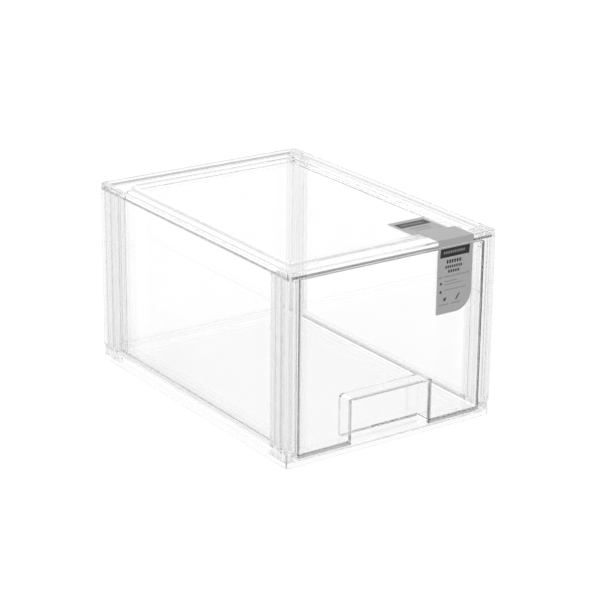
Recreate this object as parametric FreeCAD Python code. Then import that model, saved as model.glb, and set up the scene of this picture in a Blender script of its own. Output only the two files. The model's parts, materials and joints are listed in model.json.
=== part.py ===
import FreeCAD
import Part
import math
import os

# Clear stackable shoe box with a pull-out drawer.
# Millimetres, +Z up, the drawer opens towards -Y.
# The origin is on the table, under the middle of the box.

# ---------------------------------------------------------------- whole box
WIDTH = 240.0            # outer width over the corner posts and the cover
DEPTH = 340.0            # outer depth over the corner posts and the cover
BODY_HEIGHT = 191.0      # from the lower edge of the base to the top of the rim
FOOT_HEIGHT = 2.5        # how far the stacking feet reach below the base's lower edge
FIT = 0.2                # clearance between pieces that plug together
RUN = 0.3                # clearance between the drawer and what guides it
SINK = 0.5               # how deep a rib is sunk into the wall it grows from
OVER = 1.0               # how far a cutter runs past what it cuts

# ---------------------------------------------------------------- cover
COVER_EDGE = 6.7         # height of the cover's outer edge band
COVER_WALL = 2.0
RIM_SIDE = 22.4          # width of the raised rim along the sides
RIM_END = 29.5           # width of the raised rim at the front and the back
RECESS = 4.7             # depth of the sunken middle of the cover
COVER_CORNER = 3.0
RECESS_CORNER = 3.5      # upright corners of the sunken middle
RECESS_SOLE_ROUND = 0.6  # radius between the sunken middle and its walls
RIM_INNER_ROUND = 2.0    # radius from the rim down into the sunken middle
COVER_EDGE_ROUND = 0.7
STOP_DROP = 2.4          # drawer stops that hang below the cover
STOP_LENGTH = 3.0
STOP_WIDTH = 16.0
STOP_FROM_SIDE = 45.0    # from the side of the box to the middle of a stop
STOP_SETBACK = 0.5       # from the front wall of the sunken middle back to the stops

# ---------------------------------------------------------------- corner posts
POST_ALONG = 28.5        # length of a post along the side of the box
POST_ACROSS = 12.0       # width of a post on the front and the back
POST_CORNER = 0.8
POST_WALL = 2.0          # the posts are hollow
FLUTE_WIDTH = 3.2
FLUTE_DEEP = 2.0
FIRST_FLUTE = 9.5        # from the post's front face to the middle of its first flute
LAST_FLUTE = 8.3         # from the post's rear face to the middle of its last flute
FLUTE_TAPER = 0.35       # how much each side of a flute leans
END_FLUTE_WIDTH = 2.6
END_FLUTE_DEEP = 1.2
PANEL_GRIP = 5.5         # how deep a side panel enters its post
BACK_GRIP = 4.0          # how deep the back panel enters a rear post
TONGUE_INSET = 1.2       # a post's tongues are this much slimmer than its ribs
TONGUE_GAP = 0.8         # from the tongues and the tenon to the side panel
TENON_LENGTH = 18.0      # tenon on top of a post, in the channel of the cover

# ---------------------------------------------------------------- flat panels
PANEL = 2.0              # thickness of the side and back panels
PANEL_INSET = 8.0        # from the outside of the box to the panel's outer face
PANEL_SEAT = 2.2         # depth of the panel groove in the base
PANEL_ENTRY = 1.5        # how far the panels reach up into the cover

# ---------------------------------------------------------------- base
BASE_SKIRT = 4.0         # how far the base's outer wall hangs below its floor
BASE_FLOOR = 2.2
BASE_EDGE = 9.0          # height of the base's side and back bands above the floor's underside
BASE_WALL = 2.0
BASE_POST_EDGE = 10.8    # height of the corner blocks under the posts, likewise
BASE_CORNER = 2.5
RUNNER_WIDTH = 3.0
RUNNER_HEIGHT = 2.0      # above the base's floor
RUNNER_FROM_SIDE = 32.0  # from the side of the box to the middle of a runner
RUNNER_INSET = 12.0      # from the front of the box to the runners' ends
FOOT_LEG = 26.0          # length of each leg of an L-shaped foot
FOOT_WALL = 3.0
FOOT_PLAY = 0.8          # clearance of the feet inside the rim of the box below

# ---------------------------------------------------------------- drawer
DRAWER_GAP = 0.6         # from the drawer to the corner posts, each side
DRAWER_WALL = 2.2        # floor, side walls and back wall
DRAWER_CORNER = 4.0      # upright corners at the back
DRAWER_SOLE_ROUND = 3.5  # radius round the outside of the floor
DRAWER_TOP_GAP = 5.3     # from the side walls up to the underside of the cover
DRAWER_BACK_GAP = 25.0   # from the drawer's back to the back of the box
LIP_TOP_GAP = 0.7        # from the raised back wall up to the underside of the cover
FACE_INSET = 0.8         # the drawer's face behind the front of the box
FACE_THICK = 3.0
FACE_FLOOR_GAP = 0.4     # from the face down to the base's floor
FACE_TOP_GAP = 2.0       # from the face up to the underside of the cover
FACE_CORNER = 2.0
FACE_EDGE_ROUND = 0.6    # radius round the face's front edges and the recess's mouth
CLIP_DEEP = 5.0          # ribs on the face that clip inside the bin's side walls
CLIP_WALL = 1.8
CLIP_END_GAP = 4.0       # from the clips' ends to the bin's floor and to its upper edge
PULL_WIDTH = 92.0        # finger recess in the face, open at the front and below
PULL_TOP = 47.0          # above the underside of the base's floor
PULL_DEEP = 18.4         # from the face to the back of the recess
PULL_WALL = 1.8
PULL_CORNER = 3.5

# ---------------------------------------------------------------- label
LABEL_WIDTH = 42.0
LABEL_THICK = 0.2
LABEL_FROM_RIM = 5.2     # from the right side's rim to the label's right edge
LABEL_DROP = 67.0        # length down the front, below the slit
LABEL_ROUND = 19.0       # radius of the one rounded corner
LABEL_SLIT = 0.4         # the label is slit under the cover's edge, so that the drawer can open
LABEL_BRIDGE = 10.0      # height over which it bridges from the cover's edge to the drawer's face
LABEL_BACK = 80.0        # how far the label reaches over the top
LABEL_LIFT = 0.15        # film of glue under the label
LABEL_FALL = 14.7        # length over which it drops from the rim to the sunken middle
LABEL_STEPS = 8          # points that describe each of its two smooth bends

# ---------------------------------------------------------------- worked out
HALF_W = WIDTH / 2
HALF_D = DEPTH / 2
BASE_Z = FOOT_HEIGHT + BASE_SKIRT
TOP_Z = FOOT_HEIGHT + BODY_HEIGHT
COVER_Z = TOP_Z - COVER_EDGE
COVER_FLOOR_Z = TOP_Z - RECESS
RIM_UNDER_Z = TOP_Z - COVER_WALL
POST_Z = BASE_Z + BASE_POST_EDGE + FIT
POST_TOP_Z = COVER_Z - FIT
PANEL_Z = BASE_Z + BASE_EDGE - PANEL_SEAT
PANEL_TOP_Z = COVER_Z + PANEL_ENTRY
FACE_Y = -HALF_D + FACE_INSET
BASE_BAND = POST_ACROSS
BASE_FLOOR_Z = BASE_Z + BASE_FLOOR
RUNNER_X = HALF_W - RUNNER_FROM_SIDE
STOP_X = HALF_W - STOP_FROM_SIDE
FLUTE_MIDDLES = (FIRST_FLUTE, POST_ALONG - LAST_FLUTE)
TONGUE_DEEP = PANEL_INSET - BASE_WALL - TONGUE_GAP
FACE_Z = BASE_FLOOR_Z + FACE_FLOOR_GAP
FACE_TOP_Z = COVER_Z - FACE_TOP_GAP
DRAWER_HALF = HALF_W - POST_ACROSS - DRAWER_GAP
DRAWER_Z = BASE_FLOOR_Z + RUNNER_HEIGHT + RUN
DRAWER_TOP_Z = COVER_Z - DRAWER_TOP_GAP
DRAWER_BACK_Y = HALF_D - DRAWER_BACK_GAP
LIP_TOP_Z = COVER_Z - LIP_TOP_GAP
PULL_HALF = PULL_WIDTH / 2
PULL_TOP_Z = BASE_Z + PULL_TOP
PULL_BACK_Y = FACE_Y + PULL_DEEP
LABEL_RIGHT = HALF_W - RIM_SIDE - LABEL_FROM_RIM
LABEL_LEFT = LABEL_RIGHT - LABEL_WIDTH


def block(x0, x1, y0, y1, z0, z1):
    corner = FreeCAD.Vector(min(x0, x1), min(y0, y1), min(z0, z1))
    return Part.makeBox(abs(x1 - x0), abs(y1 - y0), abs(z1 - z0), corner)


def prism(points, along):
    """A solid from a closed outline of points, pushed along a vector."""
    outline = [FreeCAD.Vector(*p) for p in points]
    face = Part.Face(Part.makePolygon(outline + outline[:1]))
    return face.extrude(FreeCAD.Vector(*along))


def upright_edges(shape):
    """The straight edges of a shape that stand along Z."""
    found = []
    for edge in shape.Edges:
        a = edge.Vertexes[0].Point
        b = edge.Vertexes[-1].Point
        level = math.hypot(a.x - b.x, a.y - b.y) < 1e-6
        if level and abs(a.z - b.z) > 1e-6:
            found.append(edge)
    return found


def rounded_block(x0, x1, y0, y1, z0, z1, radius):
    """A block whose four upright edges are rounded."""
    solid = block(x0, x1, y0, y1, z0, z1)
    return solid.makeFillet(radius, upright_edges(solid))


def round_level_edges(shape, z, radius, within_x=WIDTH, within_y=DEPTH):
    """Rounds the edges at height z that lie no further out than the two limits."""
    chosen = []
    for edge in shape.Edges:
        box = edge.BoundBox
        level = abs(box.ZMin - z) < 1e-6 and abs(box.ZMax - z) < 1e-6
        reach_x = max(-box.XMin, box.XMax)
        reach_y = max(-box.YMin, box.YMax)
        if level and reach_x < within_x + 1e-6 and reach_y < within_y + 1e-6:
            chosen.append(edge)
    return shape.makeFillet(radius, chosen)


def round_front_edges(shape, y, radius):
    """Rounds every edge that lies in the upright plane at y."""
    chosen = []
    for edge in shape.Edges:
        box = edge.BoundBox
        if abs(box.YMin - y) < 1e-6 and abs(box.YMax - y) < 1e-6:
            chosen.append(edge)
    return shape.makeFillet(radius, chosen)


def mirror_x(shape):
    return shape.mirror(FreeCAD.Vector(0, 0, 0), FreeCAD.Vector(1, 0, 0))


def mirror_y(shape):
    return shape.mirror(FreeCAD.Vector(0, 0, 0), FreeCAD.Vector(0, 1, 0))


def save(shape, node):
    shape = shape.removeSplitter()
    solids = shape.Solids
    assert len(solids) == 1, node + " is not one solid"
    assert solids[0].isValid(), node + " is not valid"
    solids[0].exportStep(os.path.join("parts", node + ".step"))
    print(node, round(solids[0].Volume / 1000.0, 2), "cm3")


# ---------------------------------------------------------------- cover
def make_cover():
    shell = rounded_block(-HALF_W, HALF_W, -HALF_D, HALF_D, COVER_Z, TOP_Z, COVER_CORNER)
    shell = round_level_edges(shell, TOP_Z, COVER_EDGE_ROUND)
    recess_x = HALF_W - RIM_SIDE
    recess_y = HALF_D - RIM_END
    recess = rounded_block(-recess_x, recess_x, -recess_y, recess_y,
                           COVER_FLOOR_Z, TOP_Z + OVER, RECESS_CORNER)
    shell = shell.cut(round_level_edges(recess, COVER_FLOOR_Z, RECESS_SOLE_ROUND))
    shell = round_level_edges(shell, TOP_Z, RIM_INNER_ROUND, recess_x, recess_y)
    # the channel under the rim, which drops over the panels and the posts
    channel = block(-HALF_W + COVER_WALL, HALF_W - COVER_WALL,
                    -HALF_D + COVER_WALL, HALF_D - COVER_WALL, COVER_Z - OVER, RIM_UNDER_Z)
    core = block(-recess_x - COVER_WALL, recess_x + COVER_WALL,
                 -recess_y - COVER_WALL, recess_y + COVER_WALL, COVER_Z - OVER, TOP_Z)
    shell = shell.cut(channel.cut(core))
    # two stops under the front of the cover, which catch the drawer's raised back wall
    y0 = -recess_y - COVER_WALL + STOP_SETBACK
    for side in (-1, 1):
        middle = side * STOP_X
        shell = shell.fuse(block(middle - STOP_WIDTH / 2, middle + STOP_WIDTH / 2,
                                 y0, y0 + STOP_LENGTH, COVER_Z - STOP_DROP, COVER_Z + SINK))
    return shell


# ---------------------------------------------------------------- corner posts
def post_ribs():
    """Where the ribs between the flutes start and end along the post."""
    edges = [0.0]
    for middle in FLUTE_MIDDLES:
        edges += [middle - FLUTE_WIDTH / 2, middle + FLUTE_WIDTH / 2]
    edges.append(POST_ALONG)
    return [(edges[i], edges[i + 1]) for i in range(0, len(edges), 2)]


def tongue(start, end, z_low, z_high):
    """A flat tongue under a rib, with a half-round lower end."""
    y0 = -HALF_D + start + TONGUE_INSET
    y1 = -HALF_D + end - TONGUE_INSET
    radius = (y1 - y0) / 2
    x0 = -HALF_W + BASE_WALL
    shape = block(x0, x0 + TONGUE_DEEP, y0, y1, z_low + radius, z_high)
    end_round = Part.makeCylinder(radius, TONGUE_DEEP,
                                  FreeCAD.Vector(x0, (y0 + y1) / 2, z_low + radius),
                                  FreeCAD.Vector(1, 0, 0))
    return shape.fuse(end_round)


def tongue_pocket(start, end, z_low, z_high):
    """The pocket that a tongue drops into, wider by the fit all round."""
    y0 = -HALF_D + start + TONGUE_INSET - FIT
    y1 = -HALF_D + end - TONGUE_INSET + FIT
    x0 = -HALF_W + BASE_WALL - FIT
    return block(x0, x0 + TONGUE_DEEP + 2 * FIT, y0, y1, z_low, z_high)


def flute_cutter(width, deep, height):
    """A tapered groove cutter that enters along +X from the plane x = 0."""
    mouth = width / 2 + FLUTE_TAPER
    bottom = width / 2 - FLUTE_TAPER
    outline = [(-FLUTE_TAPER, -mouth, 0), (0, -mouth, 0), (deep, -bottom, 0),
               (deep, bottom, 0), (0, mouth, 0), (-FLUTE_TAPER, mouth, 0)]
    return prism(outline, (0, 0, height))


def post_hollow(with_back_groove):
    """The inside of a post, which leaves an even wall round the flutes and the grooves."""
    x0 = -HALF_W
    y0 = -HALF_D
    low = POST_Z - OVER
    high = POST_TOP_Z + OVER
    x1 = x0 + POST_ACROSS
    y1 = y0 + POST_ALONG
    hollow = block(x0 + POST_WALL, x1 - POST_WALL,
                   y0 + END_FLUTE_DEEP + POST_WALL, y1 - POST_WALL, low, high)
    reach = FLUTE_WIDTH / 2 + POST_WALL
    for middle in FLUTE_MIDDLES:
        hollow = hollow.cut(block(x0, x0 + FLUTE_DEEP + POST_WALL,
                                  y0 + middle - reach, y0 + middle + reach, low, high))
    hollow = hollow.cut(block(x0 + PANEL_INSET - FIT - POST_WALL, x1,
                              y1 - PANEL_GRIP - FIT - POST_WALL, y1, low, high))
    if with_back_groove:
        near = PANEL_INSET - FIT - POST_WALL
        far = PANEL_INSET + PANEL + FIT + POST_WALL
        hollow = hollow.cut(block(x1 - BACK_GRIP - FIT - POST_WALL, x1, y0 + near, y0 + far, low, high))
    return hollow


def make_left_post(with_back_groove):
    """A post at front left; the other three are mirrored from it."""
    x0 = -HALF_W
    x1 = x0 + POST_ACROSS
    y0 = -HALF_D
    y1 = y0 + POST_ALONG
    post = rounded_block(x0, x1, y0, y1, POST_Z, POST_TOP_Z, POST_CORNER)
    height = POST_TOP_Z - POST_Z
    for middle in FLUTE_MIDDLES:
        flute = flute_cutter(FLUTE_WIDTH, FLUTE_DEEP, height)
        flute.translate(FreeCAD.Vector(x0, y0 + middle, POST_Z))
        post = post.cut(flute)
    flute = flute_cutter(END_FLUTE_WIDTH, END_FLUTE_DEEP, height)
    flute.rotate(FreeCAD.Vector(0, 0, 0), FreeCAD.Vector(0, 0, 1), 90)
    flute.translate(FreeCAD.Vector(x0 + POST_ACROSS / 2, y0, POST_Z))
    post = post.cut(flute)
    # the grooves that grip the side panel and, at the back, the back panel
    low = PANEL_INSET - FIT
    high = PANEL_INSET + PANEL + FIT
    post = post.cut(block(x0 + low, x0 + high, y1 - PANEL_GRIP - FIT, y1 + OVER,
                          POST_Z - OVER, POST_TOP_Z + OVER))
    if with_back_groove:
        post = post.cut(block(x1 - BACK_GRIP - FIT, x1 + OVER, y0 + low, y0 + high,
                              POST_Z - OVER, POST_TOP_Z + OVER))
    post = post.cut(post_hollow(with_back_groove))
    # tongues into the base, and a square tenon up into the channel of the cover
    for start, end in post_ribs():
        post = post.fuse(tongue(start, end, BASE_Z + FIT, POST_Z + SINK))
    inside = COVER_WALL + FIT
    post = post.fuse(block(x0 + inside, x0 + PANEL_INSET - TONGUE_GAP,
                           y0 + inside, y0 + inside + TENON_LENGTH,
                           POST_TOP_Z - SINK, RIM_UNDER_Z - FIT))
    return post


# ---------------------------------------------------------------- flat panels
def make_side_panel():
    x0 = -HALF_W + PANEL_INSET
    y_end = HALF_D - POST_ALONG + PANEL_GRIP
    return block(x0, x0 + PANEL, -y_end, y_end, PANEL_Z, PANEL_TOP_Z)


def make_back_panel():
    y1 = HALF_D - PANEL_INSET
    x_end = HALF_W - POST_ACROSS + BACK_GRIP
    return block(-x_end, x_end, y1 - PANEL, y1, PANEL_Z, PANEL_TOP_Z)


# ---------------------------------------------------------------- base
def make_base():
    base = rounded_block(-HALF_W, HALF_W, -HALF_D, HALF_D, BASE_Z, BASE_FLOOR_Z, BASE_CORNER)
    edge_z = BASE_Z + BASE_EDGE
    edge = rounded_block(-HALF_W, HALF_W, -HALF_D, HALF_D, BASE_Z, edge_z, BASE_CORNER)
    bay = block(-HALF_W + BASE_BAND, HALF_W - BASE_BAND, -HALF_D - OVER, HALF_D - BASE_BAND,
                BASE_Z, edge_z + OVER)
    base = base.fuse(edge.cut(bay))
    # the corner blocks under the posts
    corners = rounded_block(-HALF_W, HALF_W, -HALF_D, HALF_D,
                            BASE_Z, BASE_Z + BASE_POST_EDGE, BASE_CORNER)
    keep = None
    for sx in (-1, 1):
        for sy in (-1, 1):
            part = block(sx * HALF_W, sx * (HALF_W - POST_ACROSS),
                         sy * HALF_D, sy * (HALF_D - POST_ALONG), BASE_Z, BASE_Z + BASE_POST_EDGE)
            keep = part if keep is None else keep.fuse(part)
    base = base.fuse(corners.common(keep))
    # hollows under the bands, between the posts
    roof_z = edge_z - PANEL_SEAT - BASE_WALL
    inner = BASE_BAND - BASE_WALL
    y_end = HALF_D - POST_ALONG - BASE_WALL
    for side in (-1, 1):
        base = base.cut(block(side * (HALF_W - BASE_WALL), side * (HALF_W - inner),
                              -y_end, y_end, BASE_Z - OVER, roof_z))
    x_end = HALF_W - POST_ACROSS - BASE_WALL
    base = base.cut(block(-x_end, x_end, HALF_D - BASE_WALL, HALF_D - inner, BASE_Z - OVER, roof_z))
    # the grooves that the panels stand in
    low = PANEL_INSET - FIT
    high = PANEL_INSET + PANEL + FIT
    seat_z = edge_z - PANEL_SEAT - FIT
    y_end = HALF_D - POST_ALONG + PANEL_GRIP + FIT
    x_end = HALF_W - POST_ACROSS + BACK_GRIP + FIT
    over_z = BASE_Z + BASE_POST_EDGE + OVER
    for side in (-1, 1):
        base = base.cut(block(side * (HALF_W - low), side * (HALF_W - high), -y_end, y_end,
                              seat_z, over_z))
    base = base.cut(block(-x_end, x_end, HALF_D - low, HALF_D - high, seat_z, over_z))
    # the pockets for the tongues of the posts
    for start, end in post_ribs():
        pocket = tongue_pocket(start, end, BASE_Z - OVER, over_z)
        for shape in (pocket, mirror_x(pocket), mirror_y(pocket), mirror_y(mirror_x(pocket))):
            base = base.cut(shape)
    # the skirt round the underside
    skirt = rounded_block(-HALF_W, HALF_W, -HALF_D, HALF_D, FOOT_HEIGHT, BASE_Z + SINK, BASE_CORNER)
    within_x = HALF_W - BASE_WALL
    within_y = HALF_D - BASE_WALL
    base = base.fuse(skirt.cut(block(-within_x, within_x, -within_y, within_y,
                                     FOOT_HEIGHT - OVER, BASE_Z + OVER)))
    # two runners for the drawer
    for side in (-1, 1):
        middle = side * RUNNER_X
        base = base.fuse(block(middle - RUNNER_WIDTH / 2, middle + RUNNER_WIDTH / 2,
                               -HALF_D + RUNNER_INSET, HALF_D - BASE_BAND,
                               BASE_FLOOR_Z - SINK, DRAWER_Z - RUN))
    # four L-shaped feet, which drop inside the rim of a box below
    near_x = HALF_W - RIM_SIDE - FOOT_PLAY
    near_y = HALF_D - RIM_END - FOOT_PLAY
    for sx in (-1, 1):
        for sy in (-1, 1):
            across = block(sx * near_x, sx * (near_x - FOOT_LEG),
                           sy * near_y, sy * (near_y - FOOT_WALL), 0, BASE_Z + SINK)
            along = block(sx * near_x, sx * (near_x - FOOT_WALL),
                          sy * near_y, sy * (near_y - FOOT_LEG), 0, BASE_Z + SINK)
            base = base.fuse(across.fuse(along))
    return base


# ---------------------------------------------------------------- drawer
def pull_shape(grow, y0, y1, z_low):
    """The finger recess as a block with rounded upper corners, grown by its walls."""
    half = PULL_HALF + grow
    solid = block(-half, half, y0, y1, z_low, PULL_TOP_Z + grow)
    upper = []
    for edge in solid.Edges:
        box = edge.BoundBox
        if box.YLength > 1e-3 and abs(box.ZMin - PULL_TOP_Z - grow) < 1e-6 and box.XLength < 1e-6:
            upper.append(edge)
    return solid.makeFillet(PULL_CORNER + grow, upper)


def make_drawer_bin():
    """Floor, side walls and back wall, open at the front where the face clips on."""
    start_y = FACE_Y + FACE_THICK + FIT
    ahead_y = start_y - 3 * DRAWER_CORNER
    outer = rounded_block(-DRAWER_HALF, DRAWER_HALF, ahead_y, DRAWER_BACK_Y,
                          DRAWER_Z, DRAWER_TOP_Z, DRAWER_CORNER)
    outer = round_level_edges(outer, DRAWER_Z, DRAWER_SOLE_ROUND)
    floor_z = DRAWER_Z + DRAWER_WALL
    half = DRAWER_HALF - DRAWER_WALL
    inner = rounded_block(-half, half, ahead_y - 3 * DRAWER_CORNER, DRAWER_BACK_Y - DRAWER_WALL,
                          floor_z, DRAWER_TOP_Z + OVER, DRAWER_CORNER - DRAWER_WALL)
    inner = round_level_edges(inner, floor_z, DRAWER_SOLE_ROUND - DRAWER_WALL)
    bin_shape = outer.cut(inner)
    bin_shape = bin_shape.cut(block(-WIDTH, WIDTH, -DEPTH, start_y, 0, TOP_Z))
    # the notch in the floor round the hood of the finger recess
    reach = PULL_HALF + PULL_WALL + FIT
    bin_shape = bin_shape.cut(block(-reach, reach, -HALF_D, PULL_BACK_Y + PULL_WALL + FIT,
                                    0, floor_z + OVER))
    # the back wall is raised between its corners, to meet the stops of the cover
    lip = DRAWER_HALF - DRAWER_CORNER
    return bin_shape.fuse(block(-lip, lip, DRAWER_BACK_Y - DRAWER_WALL, DRAWER_BACK_Y,
                                DRAWER_TOP_Z - SINK, LIP_TOP_Z))


def make_drawer_front():
    """The thick face with the hood over its finger recess and two upright clips."""
    y0 = FACE_Y
    y1 = FACE_Y + FACE_THICK
    plate = block(-DRAWER_HALF, DRAWER_HALF, y0, y1, FACE_Z, FACE_TOP_Z)
    corners = []
    for edge in plate.Edges:
        if edge.BoundBox.YLength > 1e-3 and edge.BoundBox.XLength < 1e-6:
            corners.append(edge)
    plate = plate.makeFillet(FACE_CORNER, corners)
    plate = plate.fuse(pull_shape(PULL_WALL, y0 + FACE_THICK / 2, PULL_BACK_Y + PULL_WALL, DRAWER_Z))
    plate = plate.cut(pull_shape(0.0, y0 - OVER, PULL_BACK_Y, FACE_Z - OVER))
    plate = round_front_edges(plate, y0, FACE_EDGE_ROUND)
    x1 = DRAWER_HALF - DRAWER_WALL - FIT
    z0 = DRAWER_Z + DRAWER_WALL + CLIP_END_GAP
    for side in (-1, 1):
        plate = plate.fuse(block(side * x1, side * (x1 - CLIP_WALL), y1 - SINK, y1 + CLIP_DEEP,
                                 z0, DRAWER_TOP_Z - CLIP_END_GAP))
    return plate


# ---------------------------------------------------------------- label
def line(a, b):
    """A straight edge in the plane at the label's left side; a and b are (y, z)."""
    return Part.makeLine(FreeCAD.Vector(LABEL_LEFT, *a), FreeCAD.Vector(LABEL_LEFT, *b))


def eased(a, b, along_z):
    """A smooth S-shaped edge from a to b, which leaves and arrives along one axis."""
    points = []
    for i in range(LABEL_STEPS + 1):
        u = i / LABEL_STEPS
        ease = u * u * (3 - 2 * u)
        share_y = ease if along_z else u
        share_z = u if along_z else ease
        points.append(FreeCAD.Vector(LABEL_LEFT, a[0] + share_y * (b[0] - a[0]),
                                     a[1] + share_z * (b[1] - a[1])))
    spline = Part.BSplineCurve()
    spline.interpolate(points)
    return spline.toShape()


def strip(edges):
    """Paper between two paths, as wide as the label."""
    return Part.Face(Part.Wire(edges)).extrude(FreeCAD.Vector(LABEL_WIDTH, 0, 0))


def make_label_lid():
    """Paper strip: down the cover's edge, over the rim and down to the sunken middle."""
    front = -HALF_D - LABEL_LIFT
    top = TOP_Z + LABEL_LIFT
    floor = COVER_FLOOR_Z + LABEL_LIFT
    t = LABEL_THICK
    rim_end = -HALF_D + RIM_END - RIM_INNER_ROUND
    land = rim_end + LABEL_FALL
    end = -HALF_D + LABEL_BACK
    solid = strip([line((front, COVER_Z), (front, top)),
                   line((front, top), (rim_end, top)),
                   eased((rim_end, top), (land, floor), False),
                   line((land, floor), (end, floor)),
                   line((end, floor), (end, floor + t)),
                   line((end, floor + t), (land, floor + t)),
                   eased((land, floor + t), (rim_end, top + t), False),
                   line((rim_end, top + t), (front - t, top + t)),
                   line((front - t, top + t), (front - t, COVER_Z)),
                   line((front - t, COVER_Z), (front, COVER_Z))])
    # the bend over the cover's front edge
    bend = COVER_EDGE_ROUND + LABEL_LIFT
    for y, z, radius in ((front, top, bend), (front - t, top + t, bend + t)):
        chosen = []
        for edge in solid.Edges:
            middle = edge.BoundBox.Center
            if edge.BoundBox.XLength > 1e-3 and math.hypot(middle.y - y, middle.z - z) < 1e-6:
                chosen.append(edge)
        solid = solid.makeFillet(radius, chosen)
    return solid


def make_label_front():
    """Paper strip from the slit down to the drawer's face, with one rounded lower corner."""
    start = -HALF_D - LABEL_LIFT
    face = FACE_Y - LABEL_LIFT
    t = LABEL_THICK
    z2 = COVER_Z - LABEL_SLIT
    z1 = z2 - LABEL_BRIDGE
    z0 = z2 - LABEL_DROP
    solid = strip([line((face, z0), (face, z1)),
                   eased((face, z1), (start, z2), True),
                   line((start, z2), (start - t, z2)),
                   eased((start - t, z2), (face - t, z1), True),
                   line((face - t, z1), (face - t, z0)),
                   line((face - t, z0), (face, z0))])
    x1 = LABEL_LEFT + LABEL_WIDTH
    chosen = []
    for edge in solid.Edges:
        box = edge.BoundBox
        at_corner = abs(box.XMin - x1) < 1e-6 and abs(box.ZMax - z0) < 1e-6
        if at_corner and box.YLength > 1e-3:
            chosen.append(edge)
    return solid.makeFillet(LABEL_ROUND, chosen)


os.makedirs("parts", exist_ok=True)
front_left = make_left_post(False)
rear_left = mirror_y(make_left_post(True))
side = make_side_panel()
save(make_cover(), "top_cover")
save(make_base(), "base_plate")
save(side, "left_side_panel")
save(mirror_x(side), "right_side_panel")
save(make_back_panel(), "back_panel")
save(front_left, "front_left_post")
save(mirror_x(front_left), "front_right_post")
save(rear_left, "rear_left_post")
save(mirror_x(rear_left), "rear_right_post")
save(make_drawer_bin(), "drawer_bin")
save(make_drawer_front(), "drawer_front")
save(make_label_lid(), "label_lid")
save(make_label_front(), "label_front")
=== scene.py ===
import json
import math
import bmesh
import bpy
from mathutils import Matrix, Vector


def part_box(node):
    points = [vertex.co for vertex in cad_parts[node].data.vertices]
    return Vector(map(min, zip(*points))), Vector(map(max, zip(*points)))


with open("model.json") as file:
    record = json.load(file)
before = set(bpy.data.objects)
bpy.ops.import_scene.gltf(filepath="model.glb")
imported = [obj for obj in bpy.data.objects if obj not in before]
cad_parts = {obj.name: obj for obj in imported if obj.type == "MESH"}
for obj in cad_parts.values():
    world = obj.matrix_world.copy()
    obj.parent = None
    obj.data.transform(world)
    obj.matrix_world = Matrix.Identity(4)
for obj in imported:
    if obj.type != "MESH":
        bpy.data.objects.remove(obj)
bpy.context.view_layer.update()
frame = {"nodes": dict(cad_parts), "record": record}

# ---------------------------------------------------------------- camera
VIEW_TURN = math.radians(-34.736)      # round the upright axis, from straight ahead
VIEW_RISE = math.radians(19.855)       # above the table
VIEW_ROLL = math.radians(0.5807)
VIEW_DISTANCE = 2.117
VIEW_LENS = 126.36
VIEW_TARGET = Vector((0.0110, 0.0, 0.0917))
CLIP_NEAR = 0.05
CLIP_FAR = 50.0

# ---------------------------------------------------------------- studio
FLOOR_SIZE = 12.0
FLOOR_WHITE = 0.1
FLOOR_GLOW = 0.94                      # so that an open floor is as bright as the surround
GLOW = 1.0                             # the white round the object

SOFTBOX_SIZE = 2.0
SOFTBOX_POWER = 34.0
SOFTBOX_BACK = 1.9                     # behind the object
SOFTBOX_UP = 2.1
BOUNCES = 192                          # light is guided along the plates' whole length
CLEAR_BOUNCES = 64

# ---------------------------------------------------------------- clear plastic
PLASTIC_IOR = 1.57
SOAK_TINT = (0.0, 0.0, 0.0, 1)
SOAK = 1.2                             # darkening per metre of plastic
SOAK_BASE = 0.1
SOAK_FACE = 2.5
LIGHT_PANEL = 0.985                    # how light each moulding's clear colour is; all are one polystyrene, so the spread between them, darkest on the posts, is painted shade
LIGHT_POST_SHADED = 0.93
LIGHT_COVER = 0.98
LIGHT_BASE = 0.994
LIGHT_BIN = 0.993
LIGHT_FACE = 0.992
LIGHT_DRIFT = 0.004                    # how much darker it gets along the flow waves
SHADE_FLUTES = 0.7                      # how light the painted shade along each moulding's edges is
SHADE_COVER_SIDES = 0.65
SHADE_COVER_ENDS = 0.3
SHADE_BAND_TOP = 0.6
SHADE_FACE_SIDES = 0.38
SHADE_FACE_FOOT = 0.5
SHADE_MOUTH = 0.35
BASE_SATIN = 0.06                      # roughness of the base
POST_WEAR = 0.2                        # share of the waves and scratches that a post has
WAVE_SCALE = 22.0
WAVE_DETAIL = 1.0
WAVE_STRENGTH = 0.25
WAVE_HEIGHT = 0.0002
SCRATCH_SCALE = (1400.0, 26.0, 1400.0)  # fine across, long from front to back
SCRATCH_DETAIL = 2.0
SCRATCH_FROM = 0.66                    # noise level where a scratch starts
SCRATCH_FULL = 0.8
SCRATCH_ROUGH = 0.03

# ---------------------------------------------------------------- painted shade along edges, in metres
EDGE_LINE = 0.0022
EDGE_SOFT = 0.0002
FOOT_LINE = 0.003
FACE_REACH = 0.004
BAND_WALL = 0.0022
STOP_BELOW = 0.0024                    # the cover's stops reach this far below its band
MOUTH_DEEP = 0.0035
MOUTH_PLAY = 0.0007                    # from the recess's opening box to its walls
FLUTES = (0.0095, 0.0202)              # from a post's outer end to the middles of its flutes
FLUTE_NEAR = 0.0011
FLUTE_FAR = 0.0019
FLUTE_DEEP = 0.0018

# ---------------------------------------------------------------- label
PAPER_DARK = (0.325, 0.325, 0.33, 1)
PAPER_LIGHT = (0.37, 0.37, 0.375, 1)
PAPER_SHINE = 0.25
PAPER_ROUGH = 0.5
FIBRE_SCALE = 900.0
FIBRE_DETAIL = 3.0
FIBRE_STRENGTH = 0.15
FIBRE_HEIGHT = 0.00004
INK = (0.01, 0.01, 0.011, 1)
INK_ROUGH = 0.32
BLOCK_SHARE = 0.68                     # ink in each half step of a broken bar
WIPE_PITCH = 1.3                       # half step of a wiped bar, in millimetres
WIPE_REACH = 0.85


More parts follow.
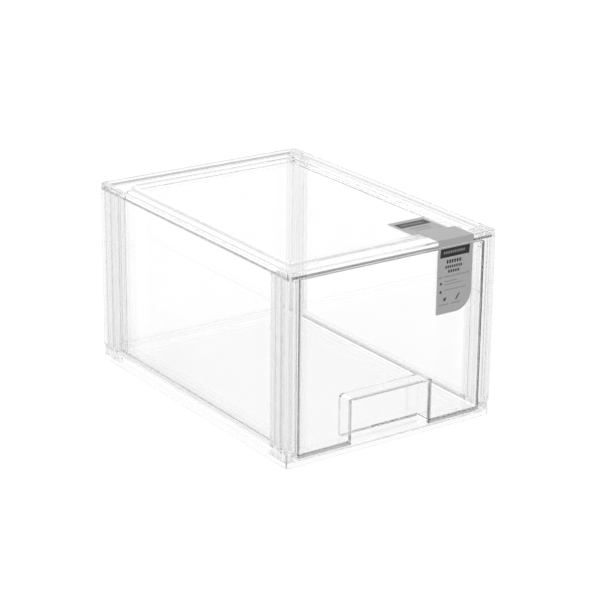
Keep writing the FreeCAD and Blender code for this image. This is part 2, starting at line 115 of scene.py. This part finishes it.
def make_camera():
    back = Vector((math.sin(VIEW_TURN) * math.cos(VIEW_RISE),
                   -math.cos(VIEW_TURN) * math.cos(VIEW_RISE),
                   math.sin(VIEW_RISE)))
    right = (-back).cross(Vector((0, 0, 1))).normalized()
    up = right.cross(-back)
    rolled_right = math.cos(VIEW_ROLL) * right + math.sin(VIEW_ROLL) * up
    rolled_up = -math.sin(VIEW_ROLL) * right + math.cos(VIEW_ROLL) * up
    turn = Matrix((rolled_right, rolled_up, back)).transposed()
    data = bpy.data.cameras.new("camera")
    data.lens = VIEW_LENS
    data.clip_start = CLIP_NEAR
    data.clip_end = CLIP_FAR
    camera = bpy.data.objects.new("camera", data)
    camera.matrix_world = Matrix.Translation(VIEW_TARGET + VIEW_DISTANCE * back) @ turn.to_4x4()
    bpy.context.scene.collection.objects.link(camera)
    bpy.context.scene.camera = camera


class Nodes:
    """A short way to add and link shader nodes."""

    def __init__(self, tree):
        self.tree = tree
        tree.nodes.clear()

    def add(self, kind, inputs=None, **settings):
        node = self.tree.nodes.new(kind)
        for name, value in settings.items():
            setattr(node, name, value)
        for key, value in (inputs or {}).items():
            if isinstance(value, bpy.types.NodeSocket):
                self.tree.links.new(value, node.inputs[key])
            else:
                node.inputs[key].default_value = value
        return node


def make_world():
    world = bpy.data.worlds.new("studio")
    world.use_nodes = True
    n = Nodes(world.node_tree)
    glow = n.add("ShaderNodeBackground", {"Color": (1, 1, 1, 1), "Strength": GLOW})
    n.add("ShaderNodeOutputWorld", {"Surface": glow.outputs[0]})
    bpy.context.scene.world = world


def make_softbox():
    """A large soft light behind and above, which lifts the level faces a little."""
    data = bpy.data.lights.new("softbox", "AREA")
    data.shape = "SQUARE"
    data.size = SOFTBOX_SIZE
    data.energy = SOFTBOX_POWER
    softbox = bpy.data.objects.new("softbox", data)
    softbox.location = (0.0, SOFTBOX_BACK, SOFTBOX_UP)
    softbox.rotation_euler = (-math.atan2(SOFTBOX_BACK, SOFTBOX_UP), 0.0, 0.0)
    bpy.context.scene.collection.objects.link(softbox)


def make_floor():
    """A pale table, lit from below like a shooting table so that it keeps no heavy shadow."""
    bm = bmesh.new()
    bmesh.ops.create_grid(bm, x_segments=1, y_segments=1, size=FLOOR_SIZE / 2)
    mesh = bpy.data.meshes.new("floor")
    bm.to_mesh(mesh)
    bm.free()
    floor = bpy.data.objects.new("floor", mesh)
    bpy.context.scene.collection.objects.link(floor)
    mat = bpy.data.materials.new("white_table")
    mat.use_nodes = True
    n = Nodes(mat.node_tree)
    white = (FLOOR_WHITE, FLOOR_WHITE, FLOOR_WHITE, 1)
    paint = n.add("ShaderNodeBsdfDiffuse", {"Color": white})
    glow = n.add("ShaderNodeEmission", {"Color": (1, 1, 1, 1), "Strength": FLOOR_GLOW})
    both = n.add("ShaderNodeAddShader", {0: paint.outputs[0], 1: glow.outputs[0]})
    n.add("ShaderNodeOutputMaterial", {"Surface": both.outputs[0]})
    mesh.materials.append(mat)


class ShadeRegion:
    """Builds masks from 0 to 1 for the painted shade along the edges of a moulding, in the shared
    frame.
    """

    def __init__(self, n, place):
        xyz = n.add("ShaderNodeSeparateXYZ", {0: place.outputs["Object"]})
        self.n = n
        self.x, self.y, self.z = xyz.outputs[0], xyz.outputs[1], xyz.outputs[2]

    def math(self, kind, a, b=0.0):
        return self.n.add("ShaderNodeMath", {0: a, 1: b}, operation=kind).outputs[0]

    def beyond(self, value, limit):
        """1 where the value is over the limit, with a soft edge."""
        return self.n.add("ShaderNodeMapRange", {"Value": value, "From Min": limit - EDGE_SOFT,
                                                 "From Max": limit + EDGE_SOFT}).outputs[0]

    def below(self, value, limit):
        return self.math("SUBTRACT", 1.0, self.beyond(value, limit))

    def either(self, a, b):
        return self.math("MAXIMUM", a, b)

    def both(self, a, b):
        return self.math("MULTIPLY", a, b)


def clear_plastic(name, soak, light, shade_regions=(), satin=0.0, wear=1.0):
    """Clear polystyrene: faint flow waves from the mould, handling scratches, painted shade along
    edges, and a colour whose lightness differs between mouldings as painted shade.
    """
    mat = bpy.data.materials.new(name)
    mat.use_nodes = True
    n = Nodes(mat.node_tree)
    place = n.add("ShaderNodeTexCoord")
    waves = n.add("ShaderNodeTexNoise", {"Vector": place.outputs["Object"], "Scale": WAVE_SCALE,
                                         "Detail": WAVE_DETAIL})
    bump = n.add("ShaderNodeBump", {"Height": waves.outputs[0], "Strength": WAVE_STRENGTH,
                                    "Distance": wear * WAVE_HEIGHT})
    stretch = n.add("ShaderNodeMapping", {"Vector": place.outputs["Object"],
                                          "Scale": SCRATCH_SCALE})
    streaks = n.add("ShaderNodeTexNoise", {"Vector": stretch.outputs[0], "Scale": 1.0,
                                           "Detail": SCRATCH_DETAIL})
    scuff = n.add("ShaderNodeMapRange", {"Value": streaks.outputs[0], "From Min": SCRATCH_FROM,
                                         "From Max": SCRATCH_FULL, "To Min": satin,
                                         "To Max": satin + SCRATCH_ROUGH * wear})
    drift = light - LIGHT_DRIFT
    faint = n.add("ShaderNodeMix", {0: waves.outputs[0], 6: (light, light, light, 1),
                                    7: (drift, drift, drift, 1)}, data_type="RGBA")
    tone_and_shade = faint.outputs[2]
    # mix each painted shade into the colour where its mask is 1
    for shade_mask, shade_lightness in shade_regions:
        tone_and_shade = n.add("ShaderNodeMix", {0: shade_mask(ShadeRegion(n, place)), 6: tone_and_shade,
                                       7: (shade_lightness, shade_lightness, shade_lightness, 1)}, data_type="RGBA").outputs[2]
    body = n.add("ShaderNodeBsdfPrincipled", {
        "Base Color": tone_and_shade, "Roughness": scuff.outputs[0], "IOR": PLASTIC_IOR,
        "Transmission Weight": 1.0, "Normal": bump.outputs[0]})
    dim = n.add("ShaderNodeVolumeAbsorption", {"Color": SOAK_TINT, "Density": soak})
    n.add("ShaderNodeOutputMaterial", {"Surface": body.outputs[0], "Volume": dim.outputs[0]})
    return mat


def cover_side_shade(r):
    """Painted shade along the lower edge of the cover's band at the sides."""
    low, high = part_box("top_cover")
    side = r.beyond(r.math("ABSOLUTE", r.x), high[0] - BAND_WALL)
    return r.both(side, r.below(r.z, low[2] + STOP_BELOW + EDGE_LINE))


def cover_end_shade(r):
    """Painted shade along the lower edge of the cover's band at the front and the back."""
    low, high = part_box("top_cover")
    across = r.below(r.math("ABSOLUTE", r.x), high[0] - 2 * BAND_WALL)
    side = r.both(across, r.beyond(r.math("ABSOLUTE", r.y), high[1] - BAND_WALL))
    return r.both(side, r.below(r.z, low[2] + STOP_BELOW + EDGE_LINE))


def band_top_shade(r):
    """Painted shade along the upper edge of the base's side bands, along the panels' grooves."""
    low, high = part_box("right_side_panel")
    across = r.math("ABSOLUTE", r.x)
    groove = r.both(r.beyond(across, low[0] - BAND_WALL), r.below(across, high[0] + BAND_WALL / 2))
    return r.both(groove, r.beyond(r.z, low[2]))


def recess_mouth_shade(r):
    """Painted shade round the opening of the finger recess in the face."""
    for opening in frame["record"]["physics"]["openings"]:
        if opening["name"] == "finger_recess":
            half = opening["box_m"][1][0] + MOUTH_PLAY
            top = opening["box_m"][1][2] + MOUTH_PLAY
    across = r.math("ABSOLUTE", r.x)
    near = r.both(r.below(across, half + EDGE_LINE), r.below(r.z, top + EDGE_LINE))
    inner = r.both(r.below(across, half - EDGE_SOFT), r.below(r.z, top - EDGE_SOFT))
    ring = r.both(near, r.math("SUBTRACT", 1.0, inner))
    return r.both(ring, r.below(r.y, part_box("drawer_front")[0][1] + MOUTH_DEEP))


def face_side_shade(r):
    """Painted shade on the face where the bin's side walls meet it."""
    low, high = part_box("drawer_front")
    sides = r.beyond(r.math("ABSOLUTE", r.x), high[0] - EDGE_LINE)
    return r.both(sides, r.below(r.y, low[1] + FACE_REACH))


def face_foot_shade(r):
    """Painted shade on the face where the bin's floor meets it."""
    low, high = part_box("drawer_front")
    across = r.below(r.math("ABSOLUTE", r.x), high[0] - EDGE_LINE)
    return r.both(r.both(across, r.below(r.z, low[2] + FOOT_LINE)), r.below(r.y, low[1] + FACE_REACH))


def flute_wall_shade(r):
    """Painted shade on the side walls of the flutes on the outside of a post."""
    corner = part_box("rear_right_post")[1]
    from_end = r.math("SUBTRACT", corner[1], r.math("ABSOLUTE", r.y))
    walls = None
    for middle in FLUTES:
        away = r.math("ABSOLUTE", r.math("SUBTRACT", from_end, middle))
        wall = r.both(r.beyond(away, FLUTE_NEAR), r.below(away, FLUTE_FAR))
        walls = wall if walls is None else r.either(walls, wall)
    return r.both(walls, r.beyond(r.math("ABSOLUTE", r.x), corner[0] - FLUTE_DEEP))


class Print:
    """Dark marks on a label, in millimetres: u to the right of its left edge, v from its upper or
    rear edge, so v is negative on the label."""

    def __init__(self, n, u, v):
        self.n = n
        self.u = u
        self.v = v
        self.mask = None

    def math(self, kind, a, b, c=None):
        inputs = {0: a, 1: b}
        if c is not None:
            inputs[2] = c
        return self.n.add("ShaderNodeMath", inputs, operation=kind).outputs[0]

    def join(self, mark, strength):
        mark = self.math("MULTIPLY", mark, strength)
        self.mask = mark if self.mask is None else self.math("MAXIMUM", self.mask, mark)

    def bar(self, u0, u1, v0, v1, strength=1.0, pitch=0.0):
        """A bar; with a pitch, the half step, it is broken up into short blocks."""
        across = self.math("COMPARE", self.u, (u0 + u1) / 2, (u1 - u0) / 2)
        along = self.math("COMPARE", self.v, (v0 + v1) / 2, (v1 - v0) / 2)
        mark = self.math("MULTIPLY", across, along)
        if pitch:
            phase = self.math("PINGPONG", self.u, pitch)
            mark = self.math("MULTIPLY", mark, self.math("LESS_THAN", phase, BLOCK_SHARE * pitch))
        self.join(mark, strength)

    def dot(self, u, v, radius, strength=1.0):
        across = self.math("POWER", self.math("SUBTRACT", self.u, u), 2.0)
        along = self.math("POWER", self.math("SUBTRACT", self.v, v), 2.0)
        self.join(self.math("LESS_THAN", self.math("ADD", across, along), radius * radius), strength)

    def wipe(self, u0, u1, v0, v1, left):
        """Lightens part of what is printed so far to a share that is left."""
        across = self.math("COMPARE", self.u, (u0 + u1) / 2, (u1 - u0) / 2)
        along = self.math("COMPARE", self.v, (v0 + v1) / 2, (v1 - v0) / 2)
        inside = self.math("MULTIPLY", across, along)
        wave = self.math("LESS_THAN", self.math("PINGPONG", self.u, WIPE_PITCH), WIPE_REACH)
        keep = self.math("MULTIPLY_ADD", self.math("MULTIPLY", inside, wave), left - 1.0, 1.0)
        self.mask = self.math("MULTIPLY", self.mask, keep)


def millimetres(n, value, start):
    """A coordinate in metres as millimetres from a start."""
    return n.add("ShaderNodeMath", {0: value, 1: 1000.0, 2: -1000.0 * start},
                 operation="MULTIPLY_ADD").outputs[0]


def label_paper(name, node, axis, draw):
    """Grey satin paper with generic print that draw() lays out."""
    mat = bpy.data.materials.new(name)
    mat.use_nodes = True
    n = Nodes(mat.node_tree)
    place = n.add("ShaderNodeTexCoord")
    xyz = n.add("ShaderNodeSeparateXYZ", {0: place.outputs["Object"]})
    low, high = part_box(node)
    print_layout = Print(n, millimetres(n, xyz.outputs[0], low[0]),
                         millimetres(n, xyz.outputs[axis], high[axis]))
    draw(print_layout)
    marks = print_layout.mask
    fibres = n.add("ShaderNodeTexNoise", {"Vector": place.outputs["Object"], "Scale": FIBRE_SCALE,
                                          "Detail": FIBRE_DETAIL})
    paper = n.add("ShaderNodeMix", {0: fibres.outputs[0], 6: PAPER_DARK, 7: PAPER_LIGHT},
                  data_type="RGBA")
    inked = n.add("ShaderNodeMix", {0: marks, 6: paper.outputs[2], 7: INK}, data_type="RGBA")
    gloss = n.add("ShaderNodeMapRange", {"Value": marks, "To Min": PAPER_ROUGH,
                                         "To Max": INK_ROUGH})
    bump = n.add("ShaderNodeBump", {"Height": fibres.outputs[0], "Strength": FIBRE_STRENGTH,
                                    "Distance": FIBRE_HEIGHT})
    body = n.add("ShaderNodeBsdfPrincipled", {"Base Color": inked.outputs[2],
                                              "Roughness": gloss.outputs[0],
                                              "Specular IOR Level": PAPER_SHINE,
                                              "Normal": bump.outputs[0]})
    n.add("ShaderNodeOutputMaterial", {"Surface": body.outputs[0]})
    return mat


def draw_front(p):
    """A header block, a three-line title, a rule, two bulleted notes and two small signs."""
    p.bar(3.0, 38.0, -10.6, -1.4)
    p.wipe(6.0, 33.0, -7.0, -4.4, 0.45)
    p.bar(10.4, 29.4, -17.0, -13.4, 1.0, 1.5)
    p.bar(9.4, 30.4, -21.8, -19.0, 0.95, 1.3)
    p.bar(12.4, 27.4, -26.4, -23.6, 0.95, 1.4)
    p.bar(1.9, 5.9, -30.6, -29.4, 0.45)
    p.bar(7.9, 38.4, -30.4, -29.2, 0.5, 0.9)
    p.dot(4.8, -36.2, 1.35, 0.9)
    p.bar(8.9, 24.4, -35.2, -34.2, 0.5, 0.9)
    p.bar(8.9, 30.9, -38.2, -37.2, 0.5, 0.9)
    p.dot(4.8, -44.6, 1.45, 0.9)
    p.bar(8.9, 35.4, -43.8, -42.8, 0.5, 0.9)
    p.dot(9.8, -52.6, 1.7, 0.85)
    p.dot(11.4, -51.3, 0.9, 0.6)
    for step in range(5):
        p.dot(23.8 + 0.8 * step, -54.2 + 1.15 * step, 0.9, 0.85)
    p.bar(3.4, 14.4, -58.4, -57.2, 0.55, 1.0)
    p.bar(17.9, 29.4, -58.4, -57.2, 0.55, 1.0)


def draw_lid(p):
    """A header block and two lines of print."""
    p.bar(2.8, 39.0, -19.0, -6.5)
    p.wipe(7.0, 33.0, -14.3, -11.0, 0.5)
    p.bar(8.0, 33.0, -26.0, -23.0, 0.6, 1.3)
    p.bar(11.0, 30.0, -31.5, -28.8, 0.55, 1.2)


def set_look():
    scene = bpy.context.scene
    scene.view_settings.view_transform = "Standard"
    scene.view_settings.look = "None"
    scene.cycles.max_bounces = BOUNCES
    scene.cycles.transmission_bounces = BOUNCES
    scene.cycles.glossy_bounces = BOUNCES
    scene.cycles.transparent_max_bounces = CLEAR_BOUNCES


make_camera()
make_world()
make_softbox()
make_floor()
set_look()
panel_plastic = clear_plastic("panel_polystyrene", SOAK, LIGHT_PANEL)
# posts: a darker colour over the whole post and darker flute walls, both painted shade
shaded_post_plastic = clear_plastic("post_polystyrene", SOAK, LIGHT_POST_SHADED, ((flute_wall_shade, SHADE_FLUTES),),
                             wear=POST_WEAR)
# painted shade along the edges of the cover, the base's side bands and the drawer face
cover_shades = ((cover_side_shade, SHADE_COVER_SIDES), (cover_end_shade, SHADE_COVER_ENDS))
base_shades = ((band_top_shade, SHADE_BAND_TOP),)
face_shades = ((face_side_shade, SHADE_FACE_SIDES), (face_foot_shade, SHADE_FACE_FOOT), (recess_mouth_shade, SHADE_MOUTH))
looks = {"top_cover": clear_plastic("cover_polystyrene", SOAK, LIGHT_COVER, cover_shades),
         "base_plate": clear_plastic("base_polystyrene", SOAK_BASE, LIGHT_BASE, base_shades, BASE_SATIN),
         "drawer_bin": clear_plastic("bin_polystyrene", SOAK, LIGHT_BIN),
         "drawer_front": clear_plastic("face_polystyrene", SOAK_FACE, LIGHT_FACE, face_shades),
         "label_front": label_paper("label_front_paper", "label_front", 2, draw_front),
         "label_lid": label_paper("label_lid_paper", "label_lid", 1, draw_lid)}
for name in frame["nodes"]:
    if name.endswith("_post"):
        looks[name] = shaded_post_plastic
for name, node in frame["nodes"].items():
    node.data.materials.clear()
    node.data.materials.append(looks.get(name, panel_plastic))
